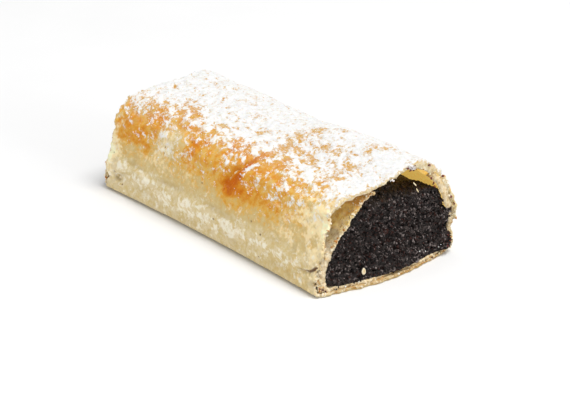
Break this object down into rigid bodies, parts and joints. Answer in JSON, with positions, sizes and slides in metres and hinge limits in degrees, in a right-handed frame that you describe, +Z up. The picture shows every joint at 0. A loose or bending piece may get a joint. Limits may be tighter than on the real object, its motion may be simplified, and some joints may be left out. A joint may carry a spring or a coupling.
{
  "type": "poppy seed strudel",
  "caption": "Cut length of baked pastry roll with a thin browned shell, a soft inner turn of dough and a dark ground-seed filling open at both cut ends.",
  "frame": {"origin": "centre of the underside of the whole piece's box", "axes": "+X along the roll towards the more open cut, +Z up, the side that slopes in and shows most of the browning at -Y"},
  "size_m": [0.1404, 0.0682, 0.0399],
  "materials": {
    "crust": "baked pastry, pale cream low down, golden to orange brown over the shoulder, dusted white on top",
    "inner_dough": "soft pale dough, dull",
    "filling": "packed ground seed, near black, moist and granular",
    "sugar": "fine powdered sugar, dull white",
    "seed": "pale seed, slightly glossy",
    "crumbs": "dark reddish brown baked specks"
  },
  "bodies": {
    "root": {"crust": "crust", "inner_dough": "inner_dough", "poppy_filling": "filling"}
  },
  "joints": []
}
